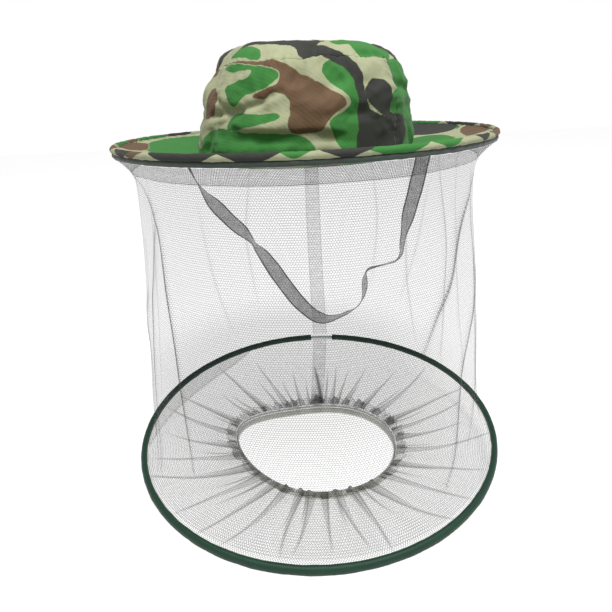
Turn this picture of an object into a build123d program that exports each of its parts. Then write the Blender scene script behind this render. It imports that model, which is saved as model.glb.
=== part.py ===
from build123d import *
import os
from math import cos, pi, radians, sin, tan

# A camouflage hat with a hanging net veil for beekeeping, in millimetres.
# The origin is the centre of the head opening, at the crown's base. +Z is up, and the
# wearer faces -Y. The veil hangs from the hat's wired rim to a lower hoop, whose net
# floor gathers to an elastic neck band.

# Hat
CLOTH = 1.0                 # one ply of camouflage cloth
CROWN_R = 99.0              # outside of the crown at the head opening
CROWN_STRAIGHT = 30.0       # height over which the crown's side is upright
SHOULDER_R = 86.0           # outside of the crown at the top panel's seam
SHOULDER_Z = 80.0
CROWN_TOP_Z = 96.0
BAND_HEIGHT = 30.0
SEAM_AZIMUTHS = (-138.0, -42.0, 42.0, 138.0)    # front-left, front-right, back-right, back-left
BRIM_INNER_R = 96.6
RIM_Z = 18.0                # the brim rises this much from the crown to its rim
GAP = 0.1                   # air between stitched pieces

# Rim
WIRE_RING_R = 172.4
WIRE_RING_Z = 17.0
RIM_WIRE_R = 1.2
CASING_R = 2.6              # casing over the rim wire
CASING_HOLE_R = 1.7
FERRULE_R = 1.6
FERRULE_LENGTH = 26.0
RIM_BINDING = (171.2, 174.0, 10.6, 14.3)        # inner radius, outer radius, bottom, top

# Veil: height and outside radius of each ring of the net tube
VEIL_RINGS = (
    (10.4, 173.2), (4.0, 166.0), (-6.0, 158.5), (-20.0, 156.0), (-60.0, 155.5),
    (-115.0, 158.0), (-195.0, 161.0), (-255.0, 165.5), (-272.0, 172.0), (-277.4, 178.0),
)
NET = 0.6                   # thickness given to one ply of net
HEM_RINGS = VEIL_RINGS[:2] + ((-4.0, 160.0),)
SEAM_X = 9.0                # the veil's back seam lies this much to the wearer's left
SEAM_WIDTH = 18.0

# Lower hoop
HOOP_R = 180.0
HOOP_Z = -282.0
HOOP_Y = -18.0              # the hoop hangs forward of the crown's axis
HOOP_WIRE_R = 1.4
HOOP_HOLE_R = 1.6           # half the width of the tunnel in the tape
HOOP_TAPE_WIDTH = 6.0
HOOP_TAPE_HEIGHT = 8.0
HOOP_TAPE_FOLD = 1.8        # the tape's corners are folded flat
JOINER_R = 2.6
JOINER_LENGTH = 28.0
JOINER_AZIMUTH = 86.0

# Neck band
NECK_Y = -28.0
NECK_HALF = (84.0, 64.0)    # half the neck opening's width and depth
NECK_Z = -320.0
NECK_HEM = (4.0, 10.0)      # thickness and height of the hem
NECK_ELASTIC = (1.2, 7.0)
NECK_TOP = NECK_Z + NECK_HEM[1]

# Chin strap
STRAP_R = 2.0
STRAP_ANCHOR_X = 116.0
STRAP_PIVOT_Z = -2.0
STRAP_ROUTE = [
    (-116, 0, -2), (-111, 0, -20), (-97, 1, -42), (-79, 2, -64), (-62, 3, -82), (-45, 2, -106),
    (-27, 0, -136), (-10, -2, -161), (11, -3, -178), (32, -2, -172), (52, -1, -163),
    (57, 0, -143), (56, 1, -123), (75, 2, -120), (94, 1, -115), (96, 0, -91), (102, 0, -63),
    (109, 0, -36), (113, 0, -18), (116, 0, -2),
]
TACK = (14.0, 14.0, 1.0)    # patch that sews the strap to the brim: along, across, thick

os.makedirs("parts", exist_ok=True)


def save(piece, name):
    piece.part.label = name
    export_step(piece.part, f"parts/{name}.step")


def radial_plane(azimuth):
    """The upright plane through the Z axis at an azimuth: X is the radius, Y is the height."""
    a = radians(azimuth)
    return Plane(origin=(0, 0, 0), x_dir=(cos(a), sin(a), 0), z_dir=(sin(a), -cos(a), 0))


def brim_z(radius):
    """Height of the brim's upper face."""
    return RIM_Z * (radius - CROWN_R) / (WIRE_RING_R - CROWN_R)


def veil_y(z):
    """How far forward the veil's axis lies at a height."""
    return HOOP_Y * max(0.0, VEIL_RINGS[3][0] - z) / (VEIL_RINGS[3][0] - HOOP_Z)


def band(inner, outer, bottom, top):
    """A closed band of rectangular section round the Z axis."""
    with BuildPart() as ring:
        with BuildSketch(Plane.XZ):
            with Locations(((inner + outer) / 2, (bottom + top) / 2)):
                Rectangle(outer - inner, top - bottom)
        revolve(axis=Axis.Z)
    return ring


def round_ring(ring_r, z, section_r, hole_r=0.0, start=0.0, arc=360.0):
    """A round bar, or a tube where hole_r is given, bent round the Z axis."""
    with BuildPart() as ring:
        with BuildSketch(radial_plane(start)):
            with Locations((ring_r, z)):
                Circle(section_r)
                if hole_r:
                    Circle(hole_r, mode=Mode.SUBTRACT)
        revolve(axis=Axis.Z, revolution_arc=arc)
    return ring


def net_tube(rings, outside, y_of):
    """A thin net tube through rings of (height, radius), its outer face that much inside them."""
    with BuildPart() as tube:
        for shrink, mode in ((outside, Mode.ADD), (outside + NET, Mode.SUBTRACT)):
            for z, radius in rings:
                with BuildSketch(Plane((0, y_of(z), z))):
                    Circle(radius - shrink)
            loft(ruled=True, mode=mode)
    return tube


# ---- Crown -------------------------------------------------------------------------------
def crown_panel(start, arc):
    """One side panel: upright at the head, then curving in to the top panel's seam."""
    mid_r, mid_z = 95.8, 56.0
    with BuildPart() as panel:
        with BuildSketch(radial_plane(start)):
            with BuildLine():
                Line((CROWN_R, 0), (CROWN_R, CROWN_STRAIGHT))
                ThreePointArc((CROWN_R, CROWN_STRAIGHT), (mid_r, mid_z), (SHOULDER_R, SHOULDER_Z))
                Line((SHOULDER_R, SHOULDER_Z), (SHOULDER_R - CLOTH, SHOULDER_Z))
                ThreePointArc(
                    (SHOULDER_R - CLOTH, SHOULDER_Z),
                    (mid_r - CLOTH, mid_z),
                    (CROWN_R - CLOTH, CROWN_STRAIGHT),
                )
                Line((CROWN_R - CLOTH, CROWN_STRAIGHT), (CROWN_R - CLOTH, 0))
                Line((CROWN_R - CLOTH, 0), (CROWN_R, 0))
            make_face()
        revolve(axis=Axis.Z, revolution_arc=arc)
    return panel


PANEL_NAMES = ("crown_front_panel", "crown_left_panel", "crown_back_panel", "crown_right_panel")
for number, panel_name in enumerate(PANEL_NAMES):
    first = SEAM_AZIMUTHS[number]
    last = SEAM_AZIMUTHS[(number + 1) % 4]
    save(crown_panel(first, (last - first) % 360), panel_name)

TOP_FLAT_R = 60.0
TOP_FLAT_Z = 94.6
with BuildPart() as crown_top_panel:
    with BuildSketch(Plane.XZ):
        with BuildLine():
            Line((SHOULDER_R - CLOTH, SHOULDER_Z), (SHOULDER_R, SHOULDER_Z))
            ThreePointArc((SHOULDER_R, SHOULDER_Z), (76.0, 89.6), (TOP_FLAT_R, TOP_FLAT_Z))
            Line((TOP_FLAT_R, TOP_FLAT_Z), (0, CROWN_TOP_Z))
            Line((0, CROWN_TOP_Z), (0, CROWN_TOP_Z - CLOTH))
            Line((0, CROWN_TOP_Z - CLOTH), (TOP_FLAT_R, TOP_FLAT_Z - CLOTH))
            ThreePointArc(
                (TOP_FLAT_R, TOP_FLAT_Z - CLOTH), (75.2, 88.8), (SHOULDER_R - CLOTH, SHOULDER_Z)
            )
        make_face()
    revolve(axis=Axis.Z)
save(crown_top_panel, "crown_top_panel")

save(band(BRIM_INNER_R, CROWN_R - CLOTH - 2 * GAP, GAP * 4, BAND_HEIGHT), "sweatband")


# ---- Brim: two plies of cloth that rise from the crown to the rim ----------------------------
def brim_ply(drop):
    outer_r = WIRE_RING_R - 1.8
    with BuildPart() as ply:
        with BuildSketch(Plane.XZ):
            with BuildLine():
                Polyline(
                    (BRIM_INNER_R, brim_z(BRIM_INNER_R) - drop),
                    (outer_r, brim_z(outer_r) - drop),
                    (outer_r, brim_z(outer_r) - drop - CLOTH + 2 * GAP),
                    (BRIM_INNER_R, brim_z(BRIM_INNER_R) - drop - CLOTH + 2 * GAP),
                    close=True,
                )
            make_face()
        revolve(axis=Axis.Z)
    return ply


UNDERSIDE_DROP = CLOTH - GAP
BRIM_THICKNESS = UNDERSIDE_DROP + CLOTH - 2 * GAP
save(brim_ply(0.0), "brim_top_cloth")
save(brim_ply(UNDERSIDE_DROP), "brim_underside_cloth")

# ---- Rim: spring wire in a camouflage casing, with the veil's dark binding under it ----------
save(round_ring(WIRE_RING_R, WIRE_RING_Z, RIM_WIRE_R), "rim_wire")
ferrule_arc = FERRULE_LENGTH / WIRE_RING_R * 180 / pi
save(
    round_ring(WIRE_RING_R, WIRE_RING_Z, FERRULE_R, RIM_WIRE_R + 0.05, 90 - ferrule_arc / 2, ferrule_arc),
    "rim_wire_ferrule",
)

with BuildPart() as rim_casing:
    with BuildSketch(Plane.XZ):
        with Locations((WIRE_RING_R, WIRE_RING_Z)):
            Circle(CASING_R)
            Circle(CASING_HOLE_R, mode=Mode.SUBTRACT)
        with Locations((WIRE_RING_R - CASING_R, WIRE_RING_Z - 0.4)):
            Rectangle(2 * CASING_R, 2.4, mode=Mode.SUBTRACT)       # the brim's edge goes in here
    revolve(axis=Axis.Z)
save(rim_casing, "rim_casing")

save(band(*RIM_BINDING), "rim_binding")

# ---- Veil ------------------------------------------------------------------------------------
save(net_tube(VEIL_RINGS, 0.0, veil_y), "veil_net")
save(net_tube(HEM_RINGS, NET + GAP, veil_y), "veil_top_hem")

# The back seam is a straight strip just inside the net, clear of the net's curve across it.
seam_inset = NET + 0.4 + (SEAM_X + SEAM_WIDTH / 2) ** 2 / (2 * VEIL_RINGS[4][1])
seam_outer = [(veil_y(z) + radius - seam_inset, z) for z, radius in VEIL_RINGS[3:-1]]
seam_inner = [(y - NET, z) for y, z in reversed(seam_outer)]
with BuildPart() as veil_seam_strip:
    with BuildSketch(Plane.YZ.offset(SEAM_X)):
        with BuildLine():
            Polyline(*seam_outer, *seam_inner, close=True)
        make_face()
    extrude(amount=SEAM_WIDTH / 2, both=True)
save(veil_seam_strip, "veil_seam_strip")


# ---- Lower hoop: a wire ring bound with tape, closed by a clear sleeve -----------------------
def at_hoop(piece):
    """The piece, made round the Z axis, moved forward to the hoop's axis."""
    with BuildPart() as placed:
        add(piece.part.moved(Location((0, HOOP_Y, 0))))
    return placed


joiner_arc = JOINER_LENGTH / HOOP_R * 180 / pi
joiner_start = JOINER_AZIMUTH - joiner_arc / 2
save(at_hoop(round_ring(HOOP_R, HOOP_Z, HOOP_WIRE_R)), "hoop_wire")
save(
    at_hoop(round_ring(HOOP_R, HOOP_Z, JOINER_R, HOOP_WIRE_R + 0.05, joiner_start, joiner_arc)),
    "hoop_joiner",
)

binding_gap = joiner_arc + 0.2
with BuildPart() as hoop_tape:
    with BuildSketch(radial_plane(JOINER_AZIMUTH + binding_gap / 2)) as hoop_section:
        with Locations((HOOP_R, HOOP_Z)):
            Rectangle(HOOP_TAPE_WIDTH, HOOP_TAPE_HEIGHT)
        chamfer(hoop_section.vertices(), HOOP_TAPE_FOLD)
        with Locations((HOOP_R, HOOP_Z)):
            Rectangle(2 * HOOP_HOLE_R, 2 * HOOP_HOLE_R, mode=Mode.SUBTRACT)
    revolve(axis=Axis.Z, revolution_arc=360 - binding_gap)
save(at_hoop(hoop_tape), "hoop_binding")

# ---- Floor net: from the hoop down to the neck band ------------------------------------------
FLOOR_OUTER_R = HOOP_R - HOOP_TAPE_WIDTH / 2 - GAP
FLOOR_TOP_Z = HOOP_Z - 0.6
FLOOR_LOW_Z = NECK_TOP + 1.1
FLOOR_HOLE = [half + NECK_HEM[0] + 0.6 for half in NECK_HALF]
with BuildPart() as floor_net:
    for drop, mode in ((NET, Mode.ADD), (0.0, Mode.SUBTRACT)):
        with BuildSketch(Plane((0, HOOP_Y, FLOOR_TOP_Z - drop))):
            Circle(FLOOR_OUTER_R)
        with BuildSketch(Plane((0, NECK_Y, FLOOR_LOW_Z - drop))):
            Ellipse(*FLOOR_HOLE)
        if mode is Mode.SUBTRACT:           # the cut goes on down, to open the neck
            with BuildSketch(Plane((0, NECK_Y, NECK_Z))):
                Ellipse(*FLOOR_HOLE)
        loft(ruled=True, mode=mode)
save(floor_net, "floor_net")

# The floor's seam strip carries the back seam on over the net, a little above it.
seam_back_y = HOOP_Y + FLOOR_OUTER_R - 4.0
seam_front_y = NECK_Y + FLOOR_HOLE[1] + 3.4
with BuildPart() as floor_seam_strip:
    with BuildSketch(Plane.YZ.offset(SEAM_X)):
        with BuildLine():
            Polyline(
                (seam_back_y, FLOOR_TOP_Z + 0.5),
                (seam_front_y, FLOOR_LOW_Z + 1.6),
                (seam_front_y, FLOOR_LOW_Z + 2.2),
                (seam_back_y, FLOOR_TOP_Z + 1.1),
                close=True,
            )
        make_face()
    extrude(amount=SEAM_WIDTH / 2, both=True)
save(floor_seam_strip, "floor_seam_strip")


# ---- Neck band: a hem, open along its top, with the elastic in it ----------------------------
def neck_oval(inset):
    """The half axes of an oval that lies that far outside the neck opening."""
    return NECK_HALF[0] + inset, NECK_HALF[1] + inset


HEM_WALL = 0.8
hem_groove = (HEM_WALL, NECK_HEM[0] - HEM_WALL, NECK_Z + HEM_WALL)
with BuildPart() as neck_hem:
    for inner, outer, bottom, mode in (
        (0.0, NECK_HEM[0], NECK_Z, Mode.ADD),
        (*hem_groove, Mode.SUBTRACT),
    ):
        with BuildSketch(Plane((0, NECK_Y, bottom))):
            Ellipse(*neck_oval(outer))
            Ellipse(*neck_oval(inner), mode=Mode.SUBTRACT)
        extrude(amount=NECK_HEM[1], mode=mode)
save(neck_hem, "neck_hem")

elastic_inset = (NECK_HEM[0] - NECK_ELASTIC[0]) / 2
with BuildPart() as neck_elastic:
    with BuildSketch(Plane((0, NECK_Y, NECK_Z + HEM_WALL + GAP))):
        Ellipse(*neck_oval(elastic_inset + NECK_ELASTIC[0]))
        Ellipse(*neck_oval(elastic_inset), mode=Mode.SUBTRACT)
    extrude(amount=NECK_ELASTIC[1])
save(neck_elastic, "neck_elastic")

# ---- Chin strap: a limp ribbon that hangs in a loop from two patches under the brim ----------
points = [Vector(p) for p in STRAP_ROUTE]
radii = []
for before, here, after in zip(points, points[1:], points[2:]):
    run_in, run_out = here - before, after - here
    turn = radians(run_in.get_angle(run_out))
    radii.append(0.45 * min(run_in.length, run_out.length) / tan(turn / 2))
print("strap radii", [round(r, 1) for r in radii])

with BuildPart() as chin_strap:
    with BuildLine() as strap_line:
        FilletPolyline(*points, radius=radii)
    with BuildSketch(Plane(origin=strap_line.wire() @ 0, z_dir=strap_line.wire() % 0)):
        Circle(STRAP_R)
    sweep()
strap_length = strap_line.wire().length
print("strap length", round(strap_length, 1))
print("strap volume", chin_strap.part.volume / (strap_length * pi * STRAP_R**2))
save(chin_strap, "chin_strap")

for side, name in ((-1, "strap_tack_right"), (1, "strap_tack_left")):
    near, far = STRAP_ANCHOR_X - TACK[0] / 2, STRAP_ANCHOR_X + TACK[0] / 2
    near_z, far_z = (brim_z(r) - BRIM_THICKNESS - GAP for r in (near, far))
    with BuildPart() as strap_tack:
        with BuildSketch(Plane.XZ):
            with BuildLine():
                Polyline(
                    (side * near, near_z),
                    (side * far, far_z),
                    (side * far, far_z - TACK[2]),
                    (side * near, near_z - TACK[2]),
                    close=True,
                )
            make_face()
        extrude(amount=TACK[1] / 2, both=True)
    save(strap_tack, name)
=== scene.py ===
"""Beekeeping hat: a camouflage bucket hat whose wired brim carries a net veil down to a taped hoop and a gathered neck."""

import itertools
import math
import random

import bmesh
import bpy
import numpy as np
from mathutils import Matrix, Vector


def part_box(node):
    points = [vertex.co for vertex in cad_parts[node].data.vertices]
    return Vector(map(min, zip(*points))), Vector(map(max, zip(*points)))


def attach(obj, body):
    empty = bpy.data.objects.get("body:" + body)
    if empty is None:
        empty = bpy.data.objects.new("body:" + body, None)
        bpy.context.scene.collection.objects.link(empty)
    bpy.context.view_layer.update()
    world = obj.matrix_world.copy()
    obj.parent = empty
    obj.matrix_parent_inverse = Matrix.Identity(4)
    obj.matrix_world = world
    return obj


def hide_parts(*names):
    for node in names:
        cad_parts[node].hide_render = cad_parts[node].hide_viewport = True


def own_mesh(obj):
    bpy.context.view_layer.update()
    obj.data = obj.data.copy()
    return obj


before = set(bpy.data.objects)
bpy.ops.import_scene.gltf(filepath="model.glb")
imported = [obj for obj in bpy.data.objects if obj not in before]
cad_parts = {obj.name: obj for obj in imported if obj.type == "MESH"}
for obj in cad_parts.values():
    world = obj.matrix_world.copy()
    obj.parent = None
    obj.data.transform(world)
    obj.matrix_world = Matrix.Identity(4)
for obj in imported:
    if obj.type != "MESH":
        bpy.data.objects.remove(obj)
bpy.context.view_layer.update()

MM = 0.001


# ---------------------------------------------------------------- sizes from the frame, millimetres
def corners(node):
    low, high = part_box(node)
    return [value / MM for value in low], [value / MM for value in high]


front_low, front_high = corners("crown_front_panel")
top_low, top_high = corners("crown_top_panel")
brim_low, brim_high = corners("brim_top_cloth")
casing_low, casing_high = corners("rim_casing")
rim_band_low, rim_band_high = corners("rim_binding")
veil_low, veil_high = corners("veil_net")
hoop_low, hoop_high = corners("hoop_binding")
floor_low, floor_high = corners("floor_net")
hem_low, hem_high = corners("neck_hem")
sweat_low, sweat_high = corners("sweatband")
elastic_low, elastic_high = corners("neck_elastic")
back_seam_low, back_seam_high = corners("veil_seam_strip")

CROWN_R = -front_low[1]
SHOULDER_R, SHOULDER_Z, TOP_Z = top_high[0], front_high[2], top_high[2]
BRIM_IN_R, BRIM_OUT_R, BRIM_Z = CROWN_R - 1.0, brim_high[0], brim_high[2]
CASING_HALF = (casing_high[2] - casing_low[2]) / 2
CASING_R, CASING_Z = casing_high[0] - CASING_HALF, (casing_high[2] + casing_low[2]) / 2
VEIL_TOP, VEIL_FOOT = veil_high[2], veil_low[2]
HOOP_HALF_WIDE, HOOP_HALF_TALL = 3.0, (hoop_high[2] - hoop_low[2]) / 2
HOOP_R, HOOP_Z = hoop_high[0] - HOOP_HALF_WIDE, (hoop_high[2] + hoop_low[2]) / 2
HOOP_Y = (hoop_low[1] + hoop_high[1]) / 2
NECK_Y = (hem_low[1] + hem_high[1]) / 2
NECK_WIDE, NECK_DEEP = hem_high[0], (hem_high[1] - hem_low[1]) / 2
NECK_TOP, NECK_FOOT = hem_high[2], hem_low[2]
BACK_SEAM_X, BACK_SEAM_WIDE = (back_seam_low[0] + back_seam_high[0]) / 2, back_seam_high[0] - back_seam_low[0]


# ---------------------------------------------------------------- curves and outlines
def smooth_line(points, steps=6, closed=False):
    """A smooth run of points through a few chosen ones."""
    points = [np.array(point, float) for point in points]
    count = len(points)
    line = []
    for i in range(count if closed else count - 1):
        if closed:
            a, b, c, d = (points[(i + k) % count] for k in (-1, 0, 1, 2))
        else:
            a, b, c, d = (points[min(max(i + k, 0), count - 1)] for k in (-1, 0, 1, 2))
        for k in range(steps):
            t = k / steps
            line.append(0.5 * (2 * b + (c - a) * t + (2 * a - 5 * b + 4 * c - d) * t ** 2
                               + (3 * b - a - 3 * c + d) * t ** 3))
    if not closed:
        line.append(points[-1])
    return np.array(line)


def line_distance(across, up, line, closed=False):
    """How far each place is from a line, and how far along the line its nearest point is, 0 to 1."""
    ends = np.roll(line, -1, axis=0) if closed else line[1:]
    starts = line if closed else line[:-1]
    nearest, share = np.full(across.shape, 1e9), np.zeros(across.shape)
    for i, (a, b) in enumerate(zip(starts, ends)):
        run = b - a
        t = np.clip(((across - a[0]) * run[0] + (up - a[1]) * run[1]) / max(run @ run, 1e-9), 0, 1)
        gap = np.hypot(across - a[0] - t * run[0], up - a[1] - t * run[1])
        closer = gap < nearest
        nearest, share = np.where(closer, gap, nearest), np.where(closer, (i + t) / len(starts), share)
    return nearest, share


def inside_by(across, up, outline):
    """How far each place is inside a rounded patch of the print, millimetres; outside it is negative."""
    line = smooth_line(outline, steps=5, closed=True)
    gap, _ = line_distance(across, up, line, closed=True)
    inside = np.zeros(across.shape, bool)
    for a, b in zip(line, np.roll(line, -1, axis=0)):
        crosses = (a[1] > up) != (b[1] > up)
        rise = b[1] - a[1] if abs(b[1] - a[1]) > 1e-9 else 1e-9
        inside ^= crosses & (across < a[0] + (up - a[1]) * (b[0] - a[0]) / rise)
    return np.where(inside, gap, -gap)


def grain(points, size, seed):
    """Smooth noise at each point, about -1 to 1, with bumps of that size in millimetres."""
    spot = np.asarray(points, float) / size + seed * 7.31
    cell = np.floor(spot).astype(np.int64)
    part = spot - cell
    ease = part ** 3 * (part * (part * 6 - 15) + 10)
    total = np.zeros(len(spot))
    for corner in itertools.product((0, 1), repeat=3):
        node = cell + corner
        mixed_up = (node[:, 0] * 73856093) ^ (node[:, 1] * 19349663) ^ (node[:, 2] * 83492791)
        slope = 0.0
        for axis in range(3):
            mixed_up = (mixed_up * 1103515245 + 12345) & 0x7FFFFFFF
            slope = slope + ((mixed_up >> 8) % 2001 / 1000.0 - 1.0) * (part[:, axis] - corner[axis])
        share = np.prod([ease[:, axis] if corner[axis] else 1 - ease[:, axis] for axis in range(3)], axis=0)
        total += share * slope
    return 1.3 * total


# ---------------------------------------------------------------- making the pieces
def turned(profile, start, stop, steps, merge=False, loop=False):
    """Bends a flat grid round the vertical, from one angle to the other, measured from the front, with a profile of
    (radius, height). Each vertex keeps its angle as "turn" and its distance along the profile as "along"."""
    line = np.array([*profile, profile[0]] if loop else profile, float)
    lengths = np.array([0.0, *np.cumsum(np.hypot(*np.diff(line, axis=0).T))])
    bm = bmesh.new()
    bmesh.ops.create_grid(bm, x_segments=steps, y_segments=len(line) - 1, size=0.5)
    flat = places(bm) + 0.5
    row = np.rint(flat[:, 1] * (len(line) - 1)).astype(int)
    turn = start + (stop - start) * flat[:, 0]
    a = np.radians(turn)
    move_to(bm, np.column_stack([line[row, 0] * np.sin(a), -line[row, 0] * np.cos(a), line[row, 1]]))
    keep_layer(bm, "turn", turn)
    keep_layer(bm, "along", lengths[row])
    if merge or loop:
        bmesh.ops.remove_doubles(bm, verts=bm.verts, dist=0.004)
    return bm


def layer(bm, name):
    kept = bm.verts.layers.float.get(name) or bm.verts.layers.float.new(name)
    return np.array([vert[kept] for vert in bm.verts])


def keep_layer(bm, name, values):
    kept = bm.verts.layers.float.get(name) or bm.verts.layers.float.new(name)
    for vert, value in zip(bm.verts, values):
        vert[kept] = value


def places(bm):
    return np.array([vert.co for vert in bm.verts])


def move_to(bm, points):
    for vert, point in zip(bm.verts, points):
        vert.co = point


def push_out(bm, amounts):
    """Moves each vertex along its normal."""
    bm.normal_update()
    for vert, amount in zip(bm.verts, amounts):
        vert.co += vert.normal * amount


def face_away(bm, centre):
    """Turns an open sheet's faces to look away from a point."""
    bm.normal_update()
    centre = Vector(centre)
    if sum(face.normal.dot(face.calc_center_median() - centre) * face.calc_area() for face in bm.faces) < 0:
        bmesh.ops.reverse_faces(bm, faces=bm.faces)
    bm.normal_update()


def finished(name, bm, material, body, stands_for=(), wall=0.0):
    """Makes the piece, gives it its finish, and puts it on its body."""
    bmesh.ops.scale(bm, vec=(MM, MM, MM), verts=bm.verts)
    mesh = bpy.data.meshes.new(name)
    bm.to_mesh(mesh)
    bm.free()
    mesh.shade_smooth()
    mesh.materials.append(material)
    piece = bpy.data.objects.new(name, mesh)
    bpy.context.scene.collection.objects.link(piece)
    if wall:
        thickness = piece.modifiers.new("cloth thickness", "SOLIDIFY")
        thickness.thickness, thickness.offset = wall * MM, -1.0
    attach(piece, body)
    if stands_for:
        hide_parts(*stands_for)
    return piece


# ---------------------------------------------------------------- materials
def paint(hex_colour):
    """An sRGB hex colour as linear RGBA."""
    values = [int(hex_colour[i:i + 2], 16) / 255 for i in (1, 3, 5)]
    return (*(v / 12.92 if v <= 0.04045 else ((v + 0.055) / 1.055) ** 2.4 for v in values), 1.0)


def add(tree, kind, wires=(), **settings):
    """Adds a node with its settings; wires pairs a socket with a value, or with a node or an output to link."""
    made = tree.nodes.new(kind)
    for name, value in settings.items():
        setattr(made, name, value)
    for socket, source in wires:
        if isinstance(source, bpy.types.Node):
            source = source.outputs[0]
        if isinstance(source, bpy.types.NodeSocket):
            tree.links.new(source, made.inputs[socket])
        else:
            made.inputs[socket].default_value = source
    return made


def finish_named(name, **values):
    """A new material with the shader's plain values set on its own sockets."""
    material = bpy.data.materials.new(name)
    material.use_nodes = True
    shader = material.node_tree.nodes["Principled BSDF"]
    for socket, value in values.items():
        shader.inputs[socket.replace("_", " ")].default_value = value
    return material, material.node_tree, shader


def mixed(tree, share, first, second, blend="MIX"):
    """The colour output of a mix of two colours."""
    return add(tree, "ShaderNodeMix", [(0, share), (6, first), (7, second)], data_type="RGBA", blend_type=blend).outputs[2]


def sum_of(tree, operation, *values):
    return add(tree, "ShaderNodeMath", list(enumerate(values)), operation=operation)


def printed_camouflage():
    """Printed polyester-cotton drill: matt, with a faint sheen on the folds. The print's edges are crisp but a little
    uneven, thin pale lines show where two colours miss each other, and the twill gives a fine grain."""
    material, tree, shader = finish_named("printed_camouflage_drill", Roughness=0.8, Specular_IOR_Level=0.25, Sheen_Weight=0.06, Sheen_Roughness=0.5)
    place = add(tree, "ShaderNodeTexCoord").outputs["Object"]
    ink = {name: add(tree, "ShaderNodeAttribute", attribute_name=name).outputs["Fac"] for name in ("green", "brown", "black")}
    fray = add(tree, "ShaderNodeTexNoise", [("Vector", place), ("Scale", 420.0), ("Detail", 2.0)])
    uneven = sum_of(tree, "MULTIPLY_ADD", fray, 1.1, -0.55)
    shares = {}
    for name, field in ink.items():
        edge = sum_of(tree, "ADD", field, uneven)
        shares[name] = add(tree, "ShaderNodeMapRange", [("Value", edge), ("From Min", -0.3), ("From Max", 0.3)])
    missed = add(tree, "ShaderNodeMapRange", [("Value", sum_of(tree, "ADD", ink["brown"], 0.6)), ("From Min", 0.3), ("From Max", -0.3)])
    shares["green"] = sum_of(tree, "MULTIPLY", shares["green"], missed)
    worn = add(tree, "ShaderNodeTexNoise", [("Vector", place), ("Scale", 38.0), ("Detail", 3.0)])
    colours = {"sage": ("#96997A", "#838669"), "green": ("#31702F", "#296127"), "brown": ("#5E4833", "#513D2A"),
               "black": ("#2B2C28", "#252622")}
    shown = mixed(tree, worn.outputs[0], *(paint(c) for c in colours["sage"]))
    for name in ("green", "brown", "black"):
        shade = mixed(tree, worn.outputs[0], *(paint(c) for c in colours[name]))
        shown = mixed(tree, shares[name].outputs[0], shown, shade)
    # The real twill has a thread every 0.4 mm; it is drawn at about 1.1 mm so that it shows.
    twill = add(tree, "ShaderNodeTexWave", [("Vector", place), ("Scale", 145.0), ("Distortion", 1.2), ("Detail", 1.0),
                                            ("Detail Scale", 2.0)], wave_type="BANDS", bands_direction="DIAGONAL")
    speck = add(tree, "ShaderNodeTexNoise", [("Vector", place), ("Scale", 900.0), ("Detail", 2.0)])
    cloth_grain = sum_of(tree, "MULTIPLY_ADD", twill, 0.55, speck)
    shown = mixed(tree, 0.10, shown, mixed(tree, cloth_grain.outputs[0], (0.35, 0.35, 0.35, 1), (1, 1, 1, 1)), "MULTIPLY")
    bump = add(tree, "ShaderNodeBump", [("Height", cloth_grain), ("Strength", 0.22), ("Distance", 0.0004)])
    tree.links.new(shown, shader.inputs["Base Color"])
    tree.links.new(bump.outputs[0], shader.inputs["Normal"])
    return material


def hexagon_net(name, thread, cover, pitch=2.0):
    """Warp-knitted polyester net: round dark threads round hexagonal holes, so it shows what is behind it through a fine
    grey haze, and grows darker where it is gathered. The real holes are 1.5 mm and the threads 0.1 mm thick; both are
    drawn a little coarser, the threads wider and fainter, so that they show."""
    material, tree, shader = finish_named(name, Base_Color=paint(thread), Roughness=0.6, Specular_IOR_Level=0.3)
    weave = add(tree, "ShaderNodeAttribute", attribute_name="weave").outputs["Vector"]
    holes = add(tree, "ShaderNodeVectorMath", [(0, weave), ("Scale", 1 / pitch)], operation="SCALE")
    half = (0.5, math.sqrt(3) / 2, 0.5)
    back = tuple(-value for value in half)
    shifted = add(tree, "ShaderNodeVectorMath", [(0, holes), (1, half)], operation="ADD")
    cells = [add(tree, "ShaderNodeVectorMath", [(0, source), (1, half), (2, back)], operation="WRAP") for source in (holes, shifted)]
    far = [add(tree, "ShaderNodeVectorMath", [(0, cell)], operation="LENGTH").outputs["Value"] for cell in cells]
    nearer = sum_of(tree, "LESS_THAN", far[0], far[1])
    cell = add(tree, "ShaderNodeMix", [(0, nearer), (4, cells[1]), (5, cells[0])], data_type="VECTOR").outputs[1]
    sides = add(tree, "ShaderNodeVectorMath", [(0, cell)], operation="ABSOLUTE")
    parts = add(tree, "ShaderNodeSeparateXYZ", [(0, sides)])
    slanted = sum_of(tree, "ADD", sum_of(tree, "MULTIPLY", parts.outputs[0], 0.5), sum_of(tree, "MULTIPLY", parts.outputs[1], math.sqrt(3) / 2))
    wall = sum_of(tree, "MAXIMUM", parts.outputs[0], slanted)
    threads = add(tree, "ShaderNodeMapRange", [("Value", wall), ("From Min", 0.38), ("From Max", 0.49), ("To Max", min(1.0, cover * 4.6))])
    gather = add(tree, "ShaderNodeAttribute", attribute_name="gather").outputs["Fac"]
    thick = sum_of(tree, "MULTIPLY_ADD", gather, 0.6, 1.0)
    hidden = sum_of(tree, "MULTIPLY_ADD", threads, thick, gather)
    hidden.use_clamp = True
    tree.links.new(hidden.outputs[0], shader.inputs["Alpha"])
    return material


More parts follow.
